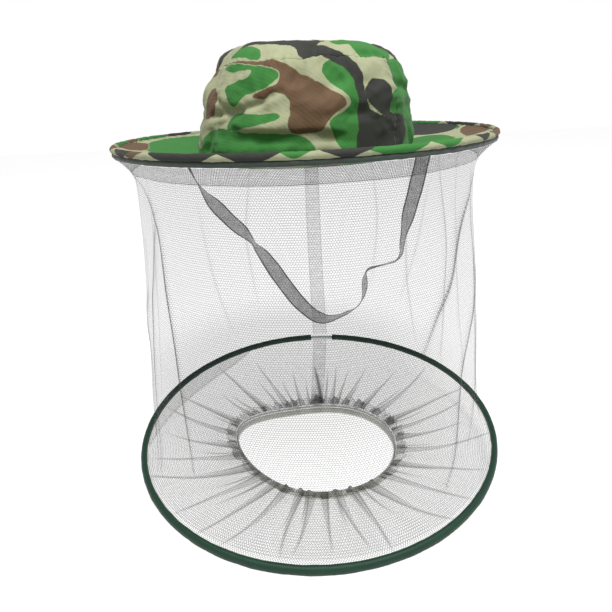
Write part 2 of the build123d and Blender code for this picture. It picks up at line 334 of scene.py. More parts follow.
def green_tape():
    """Woven polyester binding tape folded round wire: close cross ribs and a soft satin light along them."""
    material, tree, shader = finish_named("green_woven_tape", Roughness=0.55, Specular_IOR_Level=0.3, Sheen_Weight=0.04, Sheen_Roughness=0.4)
    rib_place = add(tree, "ShaderNodeAttribute", attribute_name="weave").outputs["Vector"]
    place = add(tree, "ShaderNodeTexCoord").outputs["Object"]
    # The real ribs are 0.5 mm apart; they are drawn 1.6 mm apart so that they show.
    rib = add(tree, "ShaderNodeTexWave", [("Vector", rib_place), ("Scale", 0.2), ("Distortion", 0.4)], bands_direction="X")
    tone = add(tree, "ShaderNodeTexNoise", [("Vector", place), ("Scale", 55.0), ("Detail", 3.0)])
    colour = mixed(tree, tone.outputs[0], paint("#133B29"), paint("#0E2D1F"))
    colour = mixed(tree, rib.outputs[0], colour, mixed(tree, 0.35, colour, paint("#0C1F16")))
    bump = add(tree, "ShaderNodeBump", [("Height", rib), ("Strength", 0.35), ("Distance", 0.0004)])
    tree.links.new(colour, shader.inputs["Base Color"])
    tree.links.new(bump.outputs[0], shader.inputs["Normal"])
    return material


def dark_tape():
    """Knitted nylon binding, nearly black with a green cast; its surface is soft and dull."""
    material, tree, shader = finish_named("dark_nylon_binding", Roughness=0.7, Sheen_Weight=0.2)
    place = add(tree, "ShaderNodeTexCoord").outputs["Object"]
    tone = add(tree, "ShaderNodeTexNoise", [("Vector", place), ("Scale", 160.0), ("Detail", 3.0)])
    knit = add(tree, "ShaderNodeTexNoise", [("Vector", place), ("Scale", 900.0), ("Detail", 1.0)])
    bump = add(tree, "ShaderNodeBump", [("Height", knit), ("Strength", 0.4), ("Distance", 0.0004)])
    tree.links.new(mixed(tree, tone.outputs[0], paint("#26372C"), paint("#161D19")), shader.inputs["Base Color"])
    tree.links.new(bump.outputs[0], shader.inputs["Normal"])
    return material


def sheer_ribbon():
    """Woven nylon ribbon: a sheer grey middle between firmer, darker selvedges, with fine lines along it."""
    material, tree, shader = finish_named("sheer_nylon_ribbon", Roughness=0.5, Sheen_Weight=0.2)
    across = add(tree, "ShaderNodeAttribute", attribute_name="across").outputs["Fac"]
    selvedge = add(tree, "ShaderNodeMapRange", [("Value", sum_of(tree, "ABSOLUTE", across)), ("From Min", 0.7), ("From Max", 0.86)])
    weave = add(tree, "ShaderNodeAttribute", attribute_name="weave").outputs["Vector"]
    cords = add(tree, "ShaderNodeTexWave", [("Vector", weave), ("Scale", 0.24), ("Distortion", 0.3)], bands_direction="Y")
    cloud = add(tree, "ShaderNodeTexNoise", [("Vector", weave), ("Scale", 0.12), ("Detail", 2.0)])
    colour = mixed(tree, selvedge.outputs[0], mixed(tree, cloud.outputs[0], paint("#7F817E"), paint("#676967")), paint("#3E403E"))
    middle = sum_of(tree, "MULTIPLY_ADD", cords, 0.10, 0.34)
    middle = sum_of(tree, "MULTIPLY_ADD", cloud, 0.2, middle)
    hidden = sum_of(tree, "MAXIMUM", middle, sum_of(tree, "MULTIPLY", selvedge, 0.80))
    tree.links.new(colour, shader.inputs["Base Color"])
    tree.links.new(hidden.outputs[0], shader.inputs["Alpha"])
    return material


def plain_weave(name, light, dark, rough=0.8, thread_mm=1.0, strength=0.3):
    """Plain cotton weave: matt, with crossing threads. The threads are drawn about twice their real 0.5 mm."""
    material, tree, shader = finish_named(name, Roughness=rough, Sheen_Weight=0.15)
    place = add(tree, "ShaderNodeTexCoord").outputs["Object"]
    bands = [add(tree, "ShaderNodeTexWave", [("Vector", place), ("Scale", 160.0 / thread_mm), ("Distortion", 0.8)], bands_direction=way)
             for way in ("DIAGONAL", "Z")]
    crossing = sum_of(tree, "MULTIPLY", bands[0], bands[1])
    tone = add(tree, "ShaderNodeTexNoise", [("Vector", place), ("Scale", 60.0), ("Detail", 3.0)])
    colour = mixed(tree, tone.outputs[0], paint(light), paint(dark))
    colour = mixed(tree, crossing.outputs[0], colour, mixed(tree, 0.25, colour, paint(dark)))
    bump = add(tree, "ShaderNodeBump", [("Height", crossing), ("Strength", strength), ("Distance", 0.0004)])
    tree.links.new(colour, shader.inputs["Base Color"])
    tree.links.new(bump.outputs[0], shader.inputs["Normal"])
    return material


def spring_steel():
    """Cold-drawn spring steel wire: grey and bright, with fine drawing lines and a few dull spots."""
    material, tree, shader = finish_named("drawn_spring_steel", Metallic=1.0, Roughness=0.35)
    place = add(tree, "ShaderNodeTexCoord").outputs["Object"]
    spots = add(tree, "ShaderNodeTexNoise", [("Vector", place), ("Scale", 220.0), ("Detail", 4.0)])
    rough = add(tree, "ShaderNodeMapRange", [("Value", spots.outputs[0]), ("To Min", 0.25), ("To Max", 0.5)])
    tree.links.new(mixed(tree, spots.outputs[0], paint("#A6A8AB"), paint("#7E8084")), shader.inputs["Base Color"])
    tree.links.new(rough.outputs[0], shader.inputs["Roughness"])
    return material


def clear_sleeve():
    """Extruded soft PVC tube: clear with a milky haze, glossy, faintly scuffed."""
    material, tree, shader = finish_named("clear_pvc_sleeve", IOR=1.53)
    place = add(tree, "ShaderNodeTexCoord").outputs["Object"]
    haze = add(tree, "ShaderNodeTexNoise", [("Vector", place), ("Scale", 180.0), ("Detail", 3.0)])
    rough = add(tree, "ShaderNodeMapRange", [("Value", haze.outputs[0]), ("To Min", 0.15), ("To Max", 0.4)])
    cloudy = add(tree, "ShaderNodeMapRange", [("Value", haze.outputs[0]), ("To Min", 0.35), ("To Max", 0.6)])
    tree.links.new(mixed(tree, haze.outputs[0], paint("#E9EEEC"), paint("#CFD6D3")), shader.inputs["Base Color"])
    tree.links.new(rough.outputs[0], shader.inputs["Roughness"])
    tree.links.new(cloudy.outputs[0], shader.inputs["Alpha"])
    return material


CAMOUFLAGE = printed_camouflage()
NET = hexagon_net("black_hexagon_net", "#26282A", 0.106)
FLOOR_NET = hexagon_net("black_floor_net", "#2E3127", 0.165)
DOUBLED_NET = hexagon_net("doubled_hexagon_net", "#2A2D2C", 0.15, pitch=1.7)
HEM_NET = hexagon_net("gathered_hem_net", "#343829", 0.12, pitch=1.7)
GREEN_TAPE = green_tape()
DARK_TAPE = dark_tape()
RIBBON = sheer_ribbon()
COTTON_TAPE = plain_weave("cotton_sweatband_tape", "#4A5A3E", "#37452F")
ELASTIC = plain_weave("braided_elastic", "#EDEDE6", "#D8D8CE", thread_mm=1.6, strength=0.4)
THREAD = plain_weave("polyester_sewing_thread", "#38513A", "#26382A", rough=0.6)
PATCH = plain_weave("cotton_patch", "#3D4A34", "#2C3627")
STEEL = spring_steel()
PVC = clear_sleeve()


# ---------------------------------------------------------------- camera and light
CAMERA_AT = (-0.0027, -0.475, 0.0508)
LOOKS_DOWN, LEANS, LENS, SHIFT = 15.4, -2.74, 28.6, -0.12


def set_camera():
    data = bpy.data.cameras.new("camera")
    data.lens, data.sensor_width, data.shift_y = LENS, 36.0, SHIFT
    data.clip_start = 0.01
    camera = bpy.data.objects.new("camera", data)
    bpy.context.scene.collection.objects.link(camera)
    camera.matrix_world = (Matrix.Translation(CAMERA_AT) @ Matrix.Rotation(math.radians(90 - LOOKS_DOWN), 4, "X")
                           @ Matrix.Rotation(math.radians(LEANS), 4, "Z"))
    bpy.context.scene.camera = camera


ROOM_LIGHT = 0.44  # the room's soft light; the room itself is seen as plain white


def set_studio():
    """A plain pale floor and wide soft light, brighter from above."""
    world = bpy.context.scene.world or bpy.data.worlds.new("studio")
    bpy.context.scene.world = world
    world.use_nodes = True
    tree = world.node_tree
    seen = add(tree, "ShaderNodeLightPath").outputs["Is Camera Ray"]
    strength = add(tree, "ShaderNodeMapRange", [("Value", seen), ("To Min", ROOM_LIGHT), ("To Max", 1.0)])
    tree.nodes["Background"].inputs["Color"].default_value = (1, 1, 1, 1)
    tree.links.new(strength.outputs[0], tree.nodes["Background"].inputs["Strength"])
    for name, place, energy, size in (("key", (0.2, -0.9, 1.9), 68.0, 0.6), ("fill", (1.5, -0.9, 0.7), 4.0, 1.6)):
        lamp = bpy.data.lights.new(name, "AREA")
        lamp.energy, lamp.size = energy, size
        stand = bpy.data.objects.new(name, lamp)
        bpy.context.scene.collection.objects.link(stand)
        stand.location = place
        stand.rotation_euler = (Vector((0, 0, -0.1)) - Vector(place)).to_track_quat("-Z", "Y").to_euler()
    bm = bmesh.new()
    bmesh.ops.create_grid(bm, x_segments=2, y_segments=2, size=4.0)
    bmesh.ops.translate(bm, vec=(0, 0, NECK_FOOT * MM - 0.0006), verts=bm.verts)
    mesh = bpy.data.meshes.new("floor")
    bm.to_mesh(mesh)
    bm.free()
    material, tree, shader = finish_named("lit_white_board", Base_Color=(0.22, 0.22, 0.22, 1), Roughness=0.95, Specular_IOR_Level=0.1,
                                          Emission_Color=(1, 1, 1, 1), Emission_Strength=0.86)
    mesh.materials.append(material)
    floor = bpy.data.objects.new("floor", mesh)
    bpy.context.scene.collection.objects.link(floor)
    bpy.context.scene.view_settings.view_transform = "Standard"
    bpy.context.scene.cycles.transparent_max_bounces = 48


# ---------------------------------------------------------------- chin strap
STRAP_ROUTE = [(-0.116, 0, -0.002), (-0.111, 0, -0.020), (-0.097, 0.001, -0.042), (-0.079, 0.002, -0.064),
               (-0.062, 0.003, -0.082), (-0.045, 0.002, -0.106), (-0.027, 0, -0.136), (-0.010, -0.002, -0.161),
               (0.011, -0.003, -0.178), (0.032, -0.002, -0.172), (0.052, -0.001, -0.163), (0.057, 0, -0.143),
               (0.056, 0.001, -0.123), (0.075, 0.002, -0.120), (0.094, 0.001, -0.115), (0.096, 0, -0.091),
               (0.102, 0, -0.063), (0.109, 0, -0.036), (0.113, 0, -0.018), (0.116, 0, -0.002)]
STRAP_LENGTH, STRAP_WIDE = 0.45, 0.0145
# How far the ribbon is turned from facing forwards, in degrees, at places along it from 0 to 1.
STRAP_TWIST = [(0.0, 82), (0.05, 76), (0.09, 45), (0.13, 5), (0.2, 20), (0.24, 62), (0.28, 20), (0.33, -12), (0.42, 0),
               (0.47, 12), (0.52, 45), (0.57, 70), (0.64, 62), (0.68, 74), (0.73, 60), (0.77, 66), (0.82, 40), (0.87, 6),
               (0.95, 0), (1.0, 8)]


def chin_strap():
    curve = bpy.data.curves.new("strap_line", "CURVE")
    curve.dimensions, curve.resolution_u = "3D", 12
    spline = curve.splines.new("NURBS")
    spline.points.add(len(STRAP_ROUTE) - 1)
    for point, place in zip(spline.points, STRAP_ROUTE):
        point.co = (*place, 1.0)
    spline.order_u, spline.use_endpoint_u = 3, True
    holder = bpy.data.objects.new("strap_line", curve)
    bpy.context.scene.collection.objects.link(holder)
    bpy.context.view_layer.update()
    line = bpy.data.meshes.new_from_object(holder)
    path = [vert.co.copy() for vert in line.vertices]
    bpy.data.objects.remove(holder)
    bpy.data.meshes.remove(line)
    bm = bmesh.new()
    across_layer = bm.verts.layers.float.new("across")
    u_layer = bm.verts.layers.float.new("u")
    v_layer = bm.verts.layers.float.new("v")
    ribs = (-1.0, -0.84, -0.45, 0.0, 0.45, 0.84, 1.0)
    row = [bm.verts.new((rib, 0, 0)) for rib in ribs]
    for vert, rib in zip(row, ribs):
        vert[across_layer] = rib
    edges = [bm.edges.new(pair) for pair in zip(row, row[1:])]
    runs = np.array([0.0, *np.cumsum([(b - a).length for a, b in zip(path, path[1:])])])
    turns = np.radians(np.interp(runs / runs[-1], *zip(*STRAP_TWIST)))
    for i, point in enumerate(path):
        if i:
            grown = bmesh.ops.extrude_edge_only(bm, edges=edges)["geom"]
            row = [item for item in grown if isinstance(item, bmesh.types.BMVert)]
            row.sort(key=lambda vert: vert[across_layer])
            edges = [item for item in grown if isinstance(item, bmesh.types.BMEdge)]
        before, after = path[max(i - 1, 0)], path[min(i + 1, len(path) - 1)]
        forwards = (after - before).normalized()
        flat = forwards.cross(Vector((0, -1, 0))).normalized()
        sideways = flat * math.cos(turns[i]) + Vector((0, 1, 0)) * math.sin(turns[i])
        facing = forwards.cross(sideways).normalized()
        for vert in row:
            rib = vert[across_layer]
            curl = 0.0007 * (1 - rib * rib) + 0.0005 * math.sin(runs[i] * 190 + 2.2 * rib)
            vert.co = (point + sideways * (rib * STRAP_WIDE / 2) + facing * curl) / MM
            vert[u_layer], vert[v_layer] = runs[i] / MM, rib * STRAP_WIDE / 2 / MM
    weave_from(bm, "u", "v")
    face_away(bm, (0, 4000, -90))
    strap = finished("chin_strap_ribbon", bm, RIBBON, "chin_strap", ["chin_strap"], wall=0.4)
    low = min(point.z for point in path)
    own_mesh(strap)


def weave_from(bm, across_name, up_name):
    """Keeps each vertex's place on the flat cloth, millimetres, for the patterns that follow the weave."""
    across, up = layer(bm, across_name), layer(bm, up_name)
    kept = bm.verts.layers.float_vector.get("weave") or bm.verts.layers.float_vector.new("weave")
    for vert, a, b in zip(bm.verts, across, up):
        vert[kept] = (a, b, 0)


# ---------------------------------------------------------------- camouflage print
# Each patch is a few points of (degrees from the front, millimetres up the cloth from the crown's foot).
FRONT_PATCHES = {
    "green": [
        [(-47, 79), (-36, 81), (-20, 78), (-13, 70), (-18, 61), (-30, 55), (-37, 47), (-42, 58), (-41, 64), (-30, 68), (-28, 75), (-40, 74)],
        [(-36, 42), (-24, 41), (-13, 40), (-14, 35), (-28, 31), (-40, 29), (-40, 37)],
        [(-75, 4), (-58, 24), (-46, 30), (-30, 27), (-14, 26), (-2, 23), (4, 12), (4, -8), (-60, -8)],
        [(8, 73), (13, 79), (22, 72), (26, 40), (26, -8), (22, -8), (10, 28), (10, 34), (19, 44), (18, 52), (9, 65)],
        [(52, 85), (70, 84), (84, 60), (84, -8), (56, -8), (54, 30), (43, 37), (42, 50), (50, 60)],
    ],
    "brown": [
        [(-47, 83), (-30, 84), (-12, 80), (0, 68), (9, 59), (18, 46), (11, 38), (6, 27), (-2, 25), (-8, 29), (-8, 50), (-15, 57),
         (-20, 52), (-26, 55), (-14, 63), (-14, 74), (-30, 80)],
        [(-59, 62), (-51, 60), (-51, 46), (-57, 38), (-62, 40)],
        [(-66, 84), (-57, 84), (-60, 74), (-66, 72)],
    ],
    "black": [
        [(2, 87), (10, 80), (20, 71), (23, 56), (24, 34), (24, -8), (40, -8), (54, 10), (56, 28), (44, 32), (34, 37), (28, 48),
         (27, 68), (22, 81), (20, 87)],
        [(34, 64), (40, 61), (43, 50), (43, 38), (54, 34), (57, 28), (46, 29), (32, 42), (28, 52), (30, 60)],
    ],
}
# Patches of the top panel, in millimetres to the right and back from the crown's middle.
TOP_PATCHES = {
    "green": [
        [(20, -66), (34, -70), (44, -74), (60, -61), (72, -46), (66, -18), (36, -34)],
        [(-59, -57), (-52, -54), (-43, -60), (-35, -70), (-36, -77), (-50, -68)],
    ],
    "brown": [[(-30, 20), (-8, 34), (14, 24), (30, 40), (4, 62), (-28, 52), (-44, 34)]],
    "black": [[(-52, -56), (-37, -60), (-22, -68), (-11, -74), (2, -88), (32, -82), (20, -79), (9, -79), (15, -73), (13, -67),
               (-6, -58), (-30, -47)]],
}


def print_camouflage(bm, across, up, patches, seed, hand_drawn, scale=1.0):
    """Keeps how far each vertex is inside each ink. Away from the drawn patches the print wanders by itself."""
    flat = np.column_stack([across / (1.7 * scale), up / scale, np.full(across.shape, seed * 31.0)])
    wander = {"green": (50, 0.02, 1), "brown": (46, 0.2, 2), "black": (40, 0.26, 3)}
    ragged = 1.2 * grain(flat, 6.0, seed + 9)
    for ink, (size, least, kind) in wander.items():
        free = grain(flat, size, seed + kind) + 0.3 * grain(flat, size / 2.6, seed + kind + 4)
        field = (free - least) * size * 1.3 - 60 * hand_drawn
        for outline in patches.get(ink, ()):
            field = np.maximum(field, inside_by(across, up, outline))
        keep_layer(bm, ink, field + ragged)


# ---------------------------------------------------------------- crown
CROWN_SIDE = smooth_line([(CROWN_R, 0.0), (CROWN_R, 30.0), (CROWN_R - 3.2, 56.0), (SHOULDER_R, SHOULDER_Z)], steps=18)
CROWN_TOP = smooth_line([(SHOULDER_R, SHOULDER_Z), (76.0, 89.6), (60.0, TOP_Z - 1.4), (30.0, TOP_Z - 0.2), (0.0, TOP_Z)], steps=16)
SIDE_LENGTH = float(np.hypot(*np.diff(CROWN_SIDE, axis=0).T).sum())
MM_PER_DEGREE = math.pi * CROWN_R / 180
CROWN_LEAN = 3.0
# Creases in the cloth: the two ends as (degrees from the front, millimetres up), how deep, and how wide.
CREASES = [((-41, 43), (-34, 42), 4.2, 4.0), ((-38, 42), (-22, 49), 1.8, 3.0), ((-24, 48), (-12, 57), 1.2, 3.0),
           ((-41, 44), (-54, 40), 2.4, 3.5), ((-40, 44), (-50, 54), 1.4, 3.0), ((-38, 40), (-46, 26), 2.2, 4.0),
           ((-34, 24), (0, 22), 3.2, 4.5), ((0, 22), (30, 19), 2.4, 4.5), ((-50, 30), (-56, 12), 2.0, 4.0),
           ((-7, 60), (-2, 78), 1.2, 4.0), ((-12, 32), (4, 33), 0.8, 4.0), ((6, 52), (20, 66), 1.0, 5.0),
           ((28, 12), (48, 20), 1.6, 5.0), ((50, 62), (80, 52), 1.8, 4.0), ((24, 86), (44, 84), 1.2, 4.0),
           ((-30, 84), (-10, 92), 1.0, 5.0), ((-105, 82), (-62, 86), 3.4, 15.0), ((58, 92), (84, 84), 1.6, 12.0), ((60, 30), (66, 8), 1.4, 5.0), ((20, 34), (34, 30), 0.9, 4.0)]
# Broad places where the cloth stands out.
RIDGES = [((-70, 112), (-12, 116), 2.2, 13.0), ((-104, 46), (-66, 50), -2.6, 17.0), ((62, 40), (96, 44), -1.0, 16.0), ((-48, 12), (-30, 12), 1.6, 8.0), ((-30, 34), (10, 30), 1.6, 7.0), ((12, 88), (30, 70), 1.0, 8.0),
          ((-20, 66), (10, 40), 0.9, 9.0), ((40, 70), (46, 46), 1.4, 9.0)]


def crown_creases(turn, along):
    """How far the crown's cloth stands out from its even shape, millimetres."""
    across = (((turn + 180) % 360) - 180) * MM_PER_DEGREE
    out = np.zeros(turn.shape)
    chance = random.Random(11)
    wild = []
    for _ in range(26):
        angle, height = chance.uniform(85, 275), chance.uniform(8, 80)
        lean, run = chance.uniform(-0.8, 0.8), chance.uniform(12, 26)
        wild.append(((angle, height), (angle + run * math.cos(lean), height + run * math.sin(lean)), chance.uniform(0.8, 2.4),
                     chance.uniform(3, 5)))
    for sign, lines in ((-1.0, CREASES + wild), (1.0, RIDGES)):
        for (a, b), (c, d), deep, wide in lines:
            shift = 360.0 if (a + c) / 2 > 180 else 0.0
            line = np.array([((a - shift) * MM_PER_DEGREE, b), ((c - shift) * MM_PER_DEGREE, d)])
            gap, share = line_distance(across, along, line)
            out += sign * deep * np.exp(-(gap / wide) ** 2) * (0.55 + 0.45 * np.sin(np.pi * np.clip(share, 0.02, 0.98)))
    ring = np.column_stack([np.sin(np.radians(turn)) * CROWN_R, -np.cos(np.radians(turn)) * CROWN_R, along])
    out += 2.0 * grain(ring, 34.0, 3) + 2.1 * (0.3 - np.abs(grain(ring, 20.0, 5))) + 0.7 * (0.3 - np.abs(grain(ring, 10.0, 15)))
    out = 1.9 * out * np.clip(along / 6.0, 0.15, 1.0)
    out += 2.4 * np.exp(-((along - 19) / 11.0) ** 2)
    return np.maximum(out, -0.2 - 10 * np.clip((along - 31) / 26, 0, 1))


def move_crown(bm, turn, up_cloth, amounts):
    """Moves the crown's cloth out from its even shape, and lets its upper part lean a little."""
    tilt = np.radians(np.interp(up_cloth - SIDE_LENGTH, [-60, -30, 0, 12, 24, 60], [0, 10, 34, 55, 75, 90]))
    a = np.radians(turn)
    ways = np.column_stack([np.cos(tilt) * np.sin(a), -np.cos(tilt) * np.cos(a), np.sin(tilt)])
    place = places(bm) + ways * amounts[:, None]
    place[:, 0] += CROWN_LEAN * np.clip(up_cloth / 45.0, 0, 1) ** 0.8
    move_to(bm, place)


def seam_tuck(gap, along_seam, deep=1.1):
    """Cloth drawn in at a seam, with small puckers beside the stitches."""
    return -deep * np.exp(-gap / 1.6) + 0.35 * np.sin(along_seam * 1.05 + 0.8 * np.sin(along_seam * 0.23)) * np.exp(-gap / 6.0)


def crown_panel(node, name, start, stop, seed):
    bm = turned([tuple(p) for p in CROWN_SIDE], start, stop, round((stop - start) * MM_PER_DEGREE / 1.3))
    turn, along = layer(bm, "turn"), layer(bm, "along")
    face_away(bm, (0, 0, 40))
    edge = np.minimum(turn - start, stop - turn) * MM_PER_DEGREE
    top_gap = SIDE_LENGTH - along
    move_crown(bm, turn, along, crown_creases(turn, along) + seam_tuck(edge, along, deep=0.5)
               + seam_tuck(top_gap, turn * MM_PER_DEGREE, deep=0.9))
    near = ((turn + 180) % 360) - 180
    drawn = np.clip((82 - np.abs(near)) / 10.0, 0, 1)
    shown = {ink: [[(a * MM_PER_DEGREE, b) for a, b in outline] for outline in outlines] for ink, outlines in FRONT_PATCHES.items()}
    print_camouflage(bm, near * MM_PER_DEGREE, along, shown, seed, drawn)
    finished(name, bm, CAMOUFLAGE, "hat", [node], wall=0.9)


def crown_top():
    bm = turned([tuple(p) for p in CROWN_TOP], 0, 360, 400, merge=True)
    bmesh.ops.remove_doubles(bm, verts=bm.verts, dist=0.02)
    face_away(bm, (0, 0, 40))
    place = places(bm)
    turn, gap = np.degrees(np.arctan2(place[:, 0], -place[:, 1])), layer(bm, "along")
    lift = crown_creases(turn, SIDE_LENGTH + gap) * np.clip(1 - gap / 50, 0, 1)
    dimples = 2.4 * grain(place, 42.0, 8) + 1.9 * (0.3 - np.abs(grain(place, 22.0, 12)))
    move_crown(bm, turn, SIDE_LENGTH + gap, lift + dimples * np.clip(gap / 12, 0, 1) + seam_tuck(gap, turn * MM_PER_DEGREE, deep=0.9))
    drawn = np.clip((-place[:, 1] - 30) / 20.0, 0, 1)
    print_camouflage(bm, place[:, 0], place[:, 1], TOP_PATCHES, 5, drawn)
    finished("crown_top_cloth", bm, CAMOUFLAGE, "hat", ["crown_top_panel"], wall=0.9)


def stitches(name, body, places_and_ways, length=2.1, thick=0.42):
    """Short sewing threads, each a small rounded bar lying on the cloth."""
    bm = bmesh.new()
    for place, way in places_and_ways:
        turn = Vector((0, 0, 1)).rotation_difference(Vector(way).normalized()).to_matrix().to_4x4()
        made = bmesh.ops.create_cone(bm, cap_ends=True, segments=6, radius1=thick / 2, radius2=thick / 2, depth=length * 0.7,
                                     matrix=Matrix.Translation(place) @ turn)["verts"]
        for vert in made:
            vert.co += (vert.co - Vector(place)) * 0.0
    return finished(name, bm, THREAD, body)


# ---------------------------------------------------------------- brim and rim
LEFT, RIGHT = -90, 90
BRIM_PATCHES = {
    "green": [[(-150, 104), (-150, 150), (-118, 164), (-84, 150), (-70, 118), (-84, 100), (-120, 98)],
              [(70, 100), (66, 130), (84, 140), (104, 132), (112, 104), (92, 96)], [(100, 160), (120, 176), (142, 160), (120, 146)]],
    "brown": [[(-98, 160), (-86, 178), (-74, 160), (-84, 148)], [(74, 150), (84, 178), (100, 168), (92, 152)]],
    "black": [[(100, 150), (110, 172), (134, 166), (140, 140), (122, 128), (106, 134)]],
}
CASING_PATCHES = {  # degrees from the front, as start and stop
    "black": [(-57, -49), (-37, -21), (-17, -7), (5, 12), (47, 51), (96, 112), (158, 176), (-176, -168), (-128, -118)],
    "green": [(-90, -80), (-4, -1), (14, 26), (31, 37), (-116, -100), (118, 146), (-160, -140)],
    "brown": [(-50, -44), (-72, -64), (57, 70), (-98, -92), (82, 90)],
}


def brim_height(radius):
    return BRIM_Z * (radius - CROWN_R) / (CASING_R - CROWN_R)


def brim_wave(turn, radius):
    """Soft waves that the rim wire leaves in the brim, and puckers where the cloth meets the crown and the casing."""
    ring = np.column_stack([np.sin(np.radians(turn)) * 110, -np.cos(np.radians(turn)) * 110, radius * 0.6])
    middle = np.sin(np.pi * np.clip((radius - BRIM_IN_R) / (BRIM_OUT_R - BRIM_IN_R), 0, 1))
    rim_gap, crown_gap = BRIM_OUT_R - radius, radius - BRIM_IN_R
    pucker = np.sin(turn * 1.55 + 1.5 * np.sin(turn * 0.31)) * np.exp(-rim_gap / 7) * np.clip(rim_gap / 2, 0, 1)
    pucker += 0.8 * np.sin(turn * 1.1 + 1.2 * np.sin(turn * 0.27)) * np.exp(-crown_gap / 8) * np.clip(crown_gap / 3, 0, 1)
    return 1.6 * grain(ring, 36.0, 21) * middle + 0.55 * pucker


def brim_ply(node, name, drop, seed, up):
    radii = np.linspace(BRIM_IN_R, BRIM_OUT_R, 54)
    bm = turned([(r, brim_height(r) - drop) for r in radii], 0, 360, 620)
    turn, place = layer(bm, "turn"), places(bm)
    radius = np.hypot(place[:, 0], place[:, 1])
    place[:, 2] += brim_wave(turn, radius)
    move_to(bm, place)
    face_away(bm, (0, 0, -4000 * up))
    near = ((turn + 180) % 360) - 180
    patches = {ink: [[(a * 2.4, b) for a, b in outline] for outline in outlines] for ink, outlines in BRIM_PATCHES.items()} if up > 0 else {}
    drawn = np.clip((58 - np.abs(np.abs(near) - 104)) / 12.0, 0, 1) * (up > 0)
    print_camouflage(bm, near * 2.4, radius, patches, seed, drawn)
    bmesh.ops.remove_doubles(bm, verts=bm.verts, dist=0.01)
    finished(name, bm, CAMOUFLAGE, "hat", [node], wall=0.7)


def ring_section(radius, height, half_wide, half_tall, sides):
    return [(radius + half_wide * math.cos(2 * math.pi * k / sides), height + half_tall * math.sin(2 * math.pi * k / sides))
            for k in range(sides)]


def rim_casing():
    """Cloth folded over the rim wire and gathered a little by its stitches."""
    bm = turned(ring_section(CASING_R, CASING_Z, CASING_HALF, CASING_HALF, 18), 0, 360, 900, merge=True, loop=True)
    turn, place = layer(bm, "turn"), places(bm)
    bmesh.ops.recalc_face_normals(bm, faces=bm.faces)
    ring = np.column_stack([np.sin(np.radians(turn)) * CASING_R, -np.cos(np.radians(turn)) * CASING_R, place[:, 2] * 2])
    push_out(bm, 0.45 * grain(ring, 9.0, 31) + 0.3 * grain(ring, 3.5, 33) + 0.15)
    near = ((turn + 180) % 360) - 180
    for ink in ("green", "brown", "black"):
        field = np.full(turn.shape, -20.0)
        for start, stop in CASING_PATCHES[ink]:
            lean = 2.6 * (place[:, 2] - CASING_Z)
            field = np.maximum(field, ((stop - start) / 2 - np.abs(near - (start + stop) / 2)) * 3.0 + lean)
        keep_layer(bm, ink, field + 2.0 * grain(ring, 8.0, 40))
    finished("rim_casing_cloth", bm, CAMOUFLAGE, "hat", ["rim_casing"])


def rim_binding():
    """The dark binding that holds the veil under the casing."""
    middle, half = (rim_band_low[2] + rim_band_high[2]) / 2, (rim_band_high[2] - rim_band_low[2]) / 2
    bm = turned(ring_section(rim_band_high[0] - 1.5, middle, 1.6, half + 0.3, 12), 0, 360, 720, merge=True, loop=True)
    turn, place = layer(bm, "turn"), places(bm)
    bmesh.ops.recalc_face_normals(bm, faces=bm.faces)
    push_out(bm, 0.35 * grain(place, 7.0, 51))
    finished("rim_binding_tape", bm, DARK_TAPE, "hat", ["rim_binding"])


def rim_stitches():
    """One row of top stitches holds the casing, and one holds the crown to the brim."""
    rows = []
    for radius, count in ((BRIM_OUT_R - 3.0, 300), (BRIM_IN_R + 5.0, 190)):
        for k in range(count):
            turn = 360 * k / count
            a = math.radians(turn)
            lift = float(brim_wave(np.array([turn]), np.array([radius]))[0])
            rows.append(((radius * math.sin(a), -radius * math.cos(a), brim_height(radius) + lift + 0.12), (math.cos(a), math.sin(a), 0)))
    stitches("brim_stitches", "hat", rows)


def sweatband():
    """Cotton tape inside the head opening, drawn in a little by its stitches."""
    profile = [(sweat_high[0] - 0.6, z) for z in np.linspace(sweat_high[2], sweat_low[2], 14)]
    bm = turned(profile, 0, 360, 420)
    turn, place = layer(bm, "turn"), places(bm)
    face_away(bm, (0, 0, 15))
    bmesh.ops.remove_doubles(bm, verts=bm.verts, dist=0.01)
    place = places(bm)
    push_out(bm, -0.25 + 0.25 * grain(place, 9.0, 61))
    finished("sweatband_tape", bm, COTTON_TAPE, "hat", ["sweatband"], wall=0.9)


# ---------------------------------------------------------------- veil
# Radius of the net at each height, measured from the middle of the rim above and of the hoop below.
VEIL_SHAPE = [(VEIL_TOP, 173.2), (4, 166), (-6, 158.5), (-20, 156), (-60, 155.5), (-115, 158), (-195, 161), (-255, 165.5),
              (-272, 172), (VEIL_FOOT, 178)]
BACK_TURN = 180 - math.degrees(math.asin(BACK_SEAM_X / 156))
